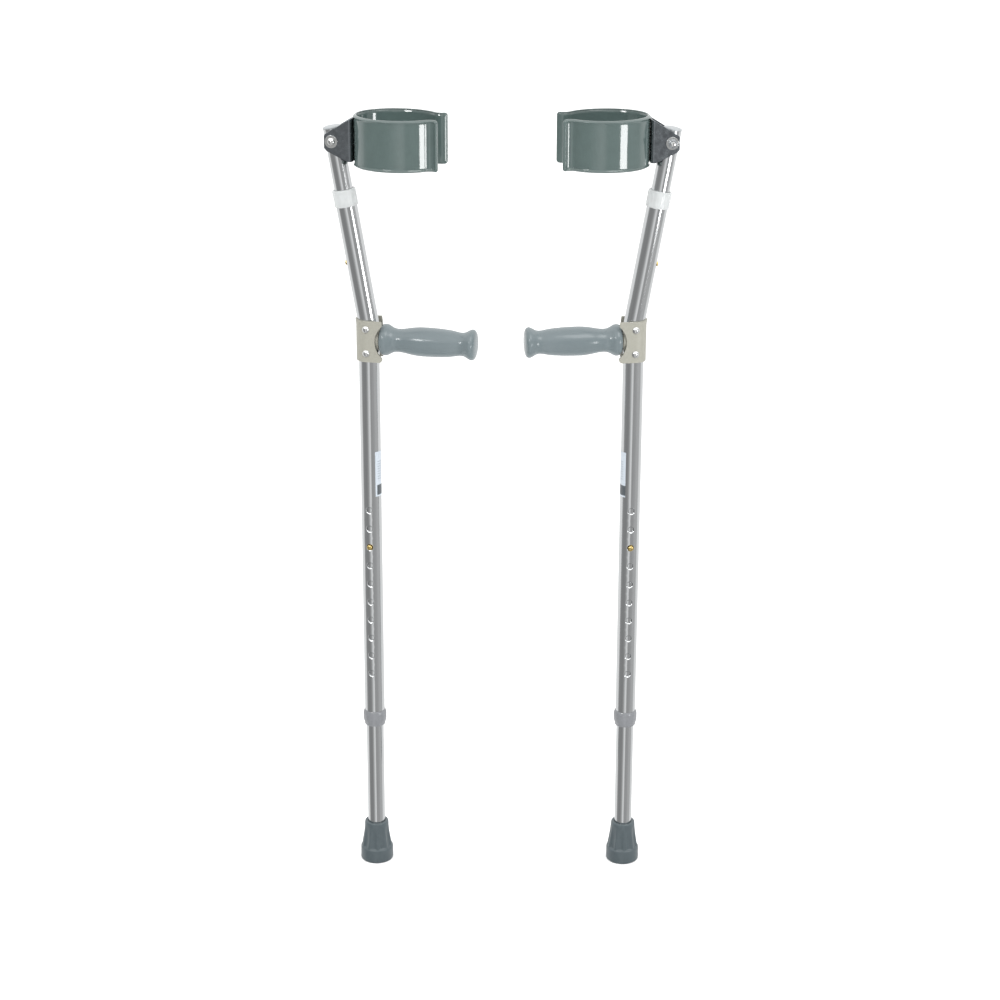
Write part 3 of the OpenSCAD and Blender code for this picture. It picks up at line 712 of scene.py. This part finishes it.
def cuff_path(count):
    """Middle of the cuff's wall in plan on its +Y side, as (point, outward normal,
    length from the back): the oval from the back to the mouth, the lip's arc, which
    bends the other way, and its short straight run."""
    a = np.linspace(math.pi, MOUTH, 400)
    oval = np.stack([CUFF_X + CUFF_A * np.cos(a), CUFF_B * np.sin(a)], -1)
    start = -math.atan2(CUFF_B * math.cos(MOUTH), CUFF_A * math.sin(MOUTH))
    centre = oval[-1] + LIP_R * np.array([-math.sin(start), math.cos(start)])
    t = start + LIP_TURN * np.linspace(0, 1, 80)[1:]
    arc = centre + LIP_R * np.stack([np.sin(t), -np.cos(t)], -1)
    last = start + LIP_TURN
    run = arc[-1] + np.linspace(0, 1, 12)[1:, None] * LIP_RUN * np.array(
        [math.cos(last), math.sin(last)])
    line = np.concatenate([oval, arc, run])
    length = np.concatenate([[0], np.cumsum(np.linalg.norm(np.diff(line, axis=0), axis=1))])
    end = length[-1]
    wanted = np.concatenate([np.linspace(0, end - 12, count)[:-1],
                             end - 12 * (1 - np.sin(np.linspace(0, math.pi / 2, 40)))])
    x, y = np.interp(wanted, length, line[:, 0]), np.interp(wanted, length, line[:, 1])
    tangent = np.gradient(line, length, axis=0)
    tx, ty = (np.interp(wanted, length, tangent[:, k]) for k in (0, 1))
    size = np.hypot(tx, ty)
    normal = np.stack([-ty / size, tx / size], -1)
    return np.stack([x, y], -1), normal, wanted, end


def cuff(side):
    """The dipped cuff. In the flat it is a rounded rectangle; d is the distance to
    its edge. Half the thickness is skin * sqrt(1 - (1 - d / skin)^2), so the edge is
    round, and a bead of up to 1.1 mm stands out along the top and bottom rims."""
    half, normal, s, end = cuff_path(110)
    path = np.concatenate([(half * [1, -1])[:0:-1], half])
    norm = np.concatenate([(normal * [1, -1])[:0:-1], normal])
    s = np.concatenate([-s[:0:-1], s])[:, None]
    corner = 4.0
    to_end = end - np.abs(s)
    drop = np.clip(corner - to_end, 0, corner)
    h = CUFF_HALF_H - corner + np.sqrt(np.maximum(corner**2 - drop**2, 0))
    rows = np.concatenate([1 - (1 - np.cos(np.linspace(0, math.pi / 2, 24))) * 0.35,
                           np.linspace(0.65, 0, 14)[1:]])
    rows = np.concatenate([-rows, rows[-2::-1]])[None, :]
    z = rows * h
    over_z = np.maximum(np.abs(z) - (CUFF_HALF_H - corner), 0)
    over_s = np.maximum(corner - to_end, 0)
    d = np.where((over_z > 0) | (over_s > 0),
                 corner - np.hypot(over_z, over_s), CUFF_HALF_H - np.abs(z))
    d = np.clip(np.minimum(d, np.minimum(CUFF_HALF_H - np.abs(z), to_end)), 0, None)
    body = CUFF_SKIN * np.sqrt(np.clip(1 - (1 - np.clip(d / CUFF_SKIN, 0, 1)) ** 2, 0, 1))
    rim = CUFF_HALF_H - np.abs(z)
    bead = 1.1 * np.exp(-(((rim - 1.9) / 1.35) ** 2)) * np.clip(rim / 1.9, 0, 1)
    bead = bead * np.clip(d / CUFF_SKIN, 0, 1) ** 0.5 * np.clip(to_end / 6, 0, 1)
    edge = np.exp(-(((to_end - 1.7) / 1.2) ** 2)) * np.clip(d / CUFF_SKIN, 0, 1)
    bead = np.maximum(bead, 0.6 * edge)
    parts = []
    for sign in (1, -1):
        n = (body + bead) if sign > 0 else -(body - 0.9 * bead * (rim < 1.9) - 0.55 * bead)
        xy = path[:, None, :] + n[..., None] * norm[:, None, :]
        points = np.concatenate([xy, (z + PLATE_MID)[..., None]], -1) + PIVOT
        quads = grid_quads(*z.shape)
        parts.append((points.reshape(-1, 3), quads if sign > 0 else quads[:, ::-1]))
    piece("cuff", side, joined(*parts), "cuff", ["cuff", "cuff_core"])


def cuff_rivets(side):
    """Two low-headed rivets that hold the cuff to the bracket."""
    front = np.concatenate([dome(4.4, 1.6, 29.25, 1, 7), [[4.4, 29.25], [2.4, 29.25]]])
    back = np.concatenate([[[2.4, 23], [4.4, 23]], dome(4.4, 1.6, 23, -1, 7)[::-1]])
    points, quads = lathe(np.concatenate([front, back]), 40)
    parts = [(along_x(points) + PIVOT + [0, 0, PLATE_MID + k * 15], quads) for k in (-1, 1)]
    piece("cuff_rivets", side, joined(*parts), "rivet", ["cuff_rivets"])


def bracket(side):
    """The zinc bracket: one sheet 2 mm thick that runs along an ear, round a bend of
    3 mm, across the front plate, and back along the other ear. At each x its upper
    and lower edges are those of the ear's outline seen from the side."""
    half, front, bend = 13.0, 24.0, 3.0
    ear = np.concatenate([[-9, -8.5, -8, -7, -6, -4.5], np.linspace(-3, front - bend, 30)])
    a = np.linspace(0, math.pi / 2, 10)[1:]
    x = np.concatenate([ear, front - bend + bend * np.sin(a)])
    y = np.concatenate([np.full(len(ear), -half), -half + bend * (1 - np.cos(a))])
    plate = np.linspace(y[-1], -y[-1], 14)[1:-1]
    x = np.concatenate([x, np.full(len(plate), front), x[::-1]])[None, :]
    y = np.concatenate([y, plate, -y[::-1]])[None, :]
    high = np.interp(x, [-9, -8.4, -7, 23, 25], [6.0, 7.6, 9, 27.6, 28])
    low = np.interp(x, [-9, -8.4, -6, 15, 19, 21], [-7.5, -8.8, -11.5, -21.6, -23.3, -23.5])
    v = np.linspace(0, 1, 12)[:, None]
    z = low + v * (high - low)
    points = np.stack([x + 0 * z, y + 0 * z, z], -1).reshape(-1, 3) + PIVOT
    piece("cuff_bracket", side, (points, grid_quads(*z.shape)), "zinc", ["cuff_bracket"],
          closed=False, solid=2.0, offset=0, bevel=0.6)


def nut(side):
    """The hexagon nut at the back of the hinge, with rounded edges."""
    a = math.pi / 6 + np.arange(6) * math.pi / 3
    a = np.concatenate([a, a[:1]])[None, :]
    r = np.array([3.05, 5.3, 5.8, 5.8, 5.3, 3.05, 3.05])[:, None]
    z = np.array([15.35, 15.35, 15.7, 19.4, 19.8, 19.8, 15.35])[:, None]
    points = np.stack([r * np.cos(a), r * np.sin(a), z + 0 * a], -1).reshape(-1, 3)
    piece("pivot_nut", side, (along_y(points) + PIVOT, grid_quads(7, 7)), "washer",
          ["pivot_nut"], bevel=0.25)


for side in SIDES:
    tubes(side)
    saddle(side)
    rivets(side)
    grip(side)
    sticker(side)
    collars(side)
    tip(side)
    buttons(side)
    hinge(side)
    cuff(side)
    cuff_rivets(side)
    bracket(side)
    nut(side)

KEPT = {"handle_post": "saddle", "tip_washer": "washer", "leg_spring": "spring",
        "forearm_spring": "spring", "pivot_spacers": "clear_nylon"}
for side in SIDES:
    for node, slot in KEPT.items():
        obj = frame["nodes"][f"{side}_{node}"]
        obj.data.materials.clear()
        obj.data.materials.append(FINISH[slot])


# ---- Stage ----

# Brightness of the room round the horizon: degrees from the front, and level
ROOM = [(-180, 0.74), (-104, 0.74), (-96, 0.66), (-90, 0.36), (-80, 0.24), (-46, 0.22),
        (-30, 0.27), (-18, 0.45), (-4, 0.72), (3, 0.62), (10, 0.3), (40, 0.33), (66, 0.42),
        (86, 0.4), (92, 0.52), (98, 0.7), (180, 0.74)]


def floor():
    """A plain pale floor that reaches past the edges of the view."""
    mesh = bpy.data.meshes.new("floor")
    corners = [(-30, -12, 0), (30, -12, 0), (30, 60, 0), (-30, 60, 0)]
    mesh.from_pydata(corners, [], [(0, 1, 2, 3)])
    obj = bpy.data.objects.new("floor", mesh)
    bpy.context.scene.collection.objects.link(obj)
    material, _, _ = blank("matt white floor", Roughness=0.9,
                           **{"Base Color": linear("#FBFBFB"), "Specular IOR Level": 0.1})
    mesh.materials.append(material)
    obj.visible_glossy = False


def studio():
    """Soft even light from all round. Seen from the objects the room is grey in front,
    with one narrow lit gap, pale at the sides and behind, and white overhead."""
    world = bpy.data.worlds.new("studio")
    bpy.context.scene.world = world
    world.use_nodes = True
    tree = world.node_tree
    tree.nodes.clear()
    way = add(tree, "SeparateXYZ", {"Vector": add(tree, "TexCoord").outputs["Generated"]})
    front = add(tree, "Math", {0: way.outputs["Y"], 1: -1.0}, operation="MULTIPLY")
    angle = add(tree, "Math", {0: way.outputs["X"], 1: front.outputs[0]}, operation="ARCTAN2")
    degrees = add(tree, "Math", {0: angle.outputs[0]}, operation="DEGREES")
    place = add(tree, "MapRange", {"Value": degrees.outputs[0], "From Min": -180.0,
                                   "From Max": 180.0, "To Min": 0.0, "To Max": 1.0})
    ramp = add(tree, "ValToRGB", {"Fac": place.outputs[0]})
    elements = ramp.color_ramp.elements
    while len(elements) < len(ROOM):
        elements.new(0.5)
    for element, (at, level) in zip(elements, ROOM):
        element.position, element.color = at / 360 + 0.5, (level, level, level, 1)
    sky = ranged(tree, way.outputs["Z"], 0.0, 1.0, 0.25, 0.7)
    mix = add(tree, "Mix", {"Factor": sky}, data_type="RGBA")
    tree.links.new(ramp.outputs[0], mix.inputs["A"])
    mix.inputs["B"].default_value = (1.15, 1.15, 1.15, 1)
    light = add(tree, "Background", {"Color": mix.outputs["Result"], "Strength": 1.5})
    add(tree, "OutputWorld", {"Surface": light.outputs[0]})


def softbox(name, place, target, size, power):
    """A rectangular soft light at a place, turned to a target, in metres."""
    light = bpy.data.lights.new(name, "AREA")
    light.shape, light.size, light.size_y, light.energy = "RECTANGLE", *size, power
    obj = bpy.data.objects.new(name, light)
    bpy.context.scene.collection.objects.link(obj)
    obj.location = place
    way = np.array(target, float) - np.array(place, float)
    turn = math.atan2(-way[0], way[1])
    obj.rotation_euler = (math.atan2(math.hypot(way[0], way[1]), -way[2]), 0, turn)


floor()
studio()
softbox("overhead", (1.2, -1.8, 3.4), (0, 0, 0.5), (1.6, 1.6), 22)
softbox("front left", (-1.5, -2.1, 2.0), (-0.1, 0, 0.7), (0.7, 0.3), 16)
softbox("strip", (1.17, -1.09, 0.62), (0, 0, 0.9), (0.42, 0.36), 5.5)

camera_data = bpy.data.cameras.new("camera")
camera_data.lens, camera_data.sensor_width = 86.78, 36.0
camera = bpy.data.objects.new("camera", camera_data)
bpy.context.scene.collection.objects.link(camera)
aim = Matrix.Rotation(math.radians(0.02), 4, "Z") @ Matrix.Rotation(math.radians(70.046), 4, "X")
camera.matrix_world = (Matrix.Translation((0, -2.80, 1.515)) @ aim
                       @ Matrix.Rotation(math.radians(0.18), 4, "Z"))
bpy.context.scene.camera = camera
bpy.context.scene.view_settings.view_transform = "Standard"
